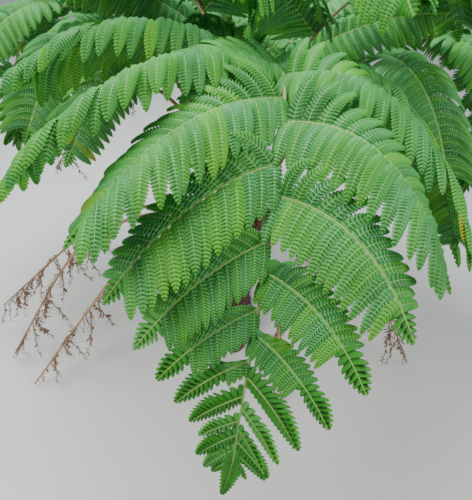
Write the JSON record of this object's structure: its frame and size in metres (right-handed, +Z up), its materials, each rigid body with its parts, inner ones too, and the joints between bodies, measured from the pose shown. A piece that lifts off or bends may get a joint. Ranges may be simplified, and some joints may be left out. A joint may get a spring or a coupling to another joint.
{
  "type": "tree fern",
  "caption": "Young tree fern on a short leaning trunk, with a crown of arching, twice divided green fronds and bare dead stalks hanging below them.",
  "frame": {"origin": "the middle of the flat cut under the trunk, at ground level", "axes": "+Z up; the largest frond arches out towards -Y"},
  "size_m": [2.0634, 2.0652, 1.4382],
  "materials": {
    "bark": "matt fibrous bark",
    "green_stalk": "satin green stalk, scaly brown at its foot",
    "leaf": "satin leaf",
    "dead_stalk": "dry matt stalk"
  },
  "bodies": {
    "root": {"trunk": "bark", "frond_1_stipe": "green_stalk", "frond_1_inner_blade": "leaf", "frond_1_outer_blade": "leaf", "frond_2_stipe": "green_stalk", "frond_2_inner_blade": "leaf", "frond_2_outer_blade": "leaf", "frond_3_stipe": "green_stalk", "frond_3_inner_blade": "leaf", "frond_3_outer_blade": "leaf", "frond_4_stipe": "green_stalk", "frond_4_inner_blade": "leaf", "frond_4_outer_blade": "leaf", "frond_5_stipe": "green_stalk", "frond_5_inner_blade": "leaf", "frond_5_outer_blade": "leaf", "frond_6_stipe": "green_stalk", "frond_6_inner_blade": "leaf", "frond_6_outer_blade": "leaf", "frond_7_stipe": "green_stalk", "frond_7_inner_blade": "leaf", "frond_7_outer_blade": "leaf", "frond_8_stipe": "green_stalk", "frond_8_inner_blade": "leaf", "frond_8_outer_blade": "leaf", "dead_frond_1": "dead_stalk", "dead_frond_2": "dead_stalk", "dead_frond_3": "dead_stalk", "dead_frond_4": "dead_stalk", "dead_frond_5": "dead_stalk", "dead_frond_6": "dead_stalk", "dead_frond_7": "dead_stalk", "dead_frond_8": "dead_stalk", "dead_frond_9": "dead_stalk"}
  },
  "joints": []
}
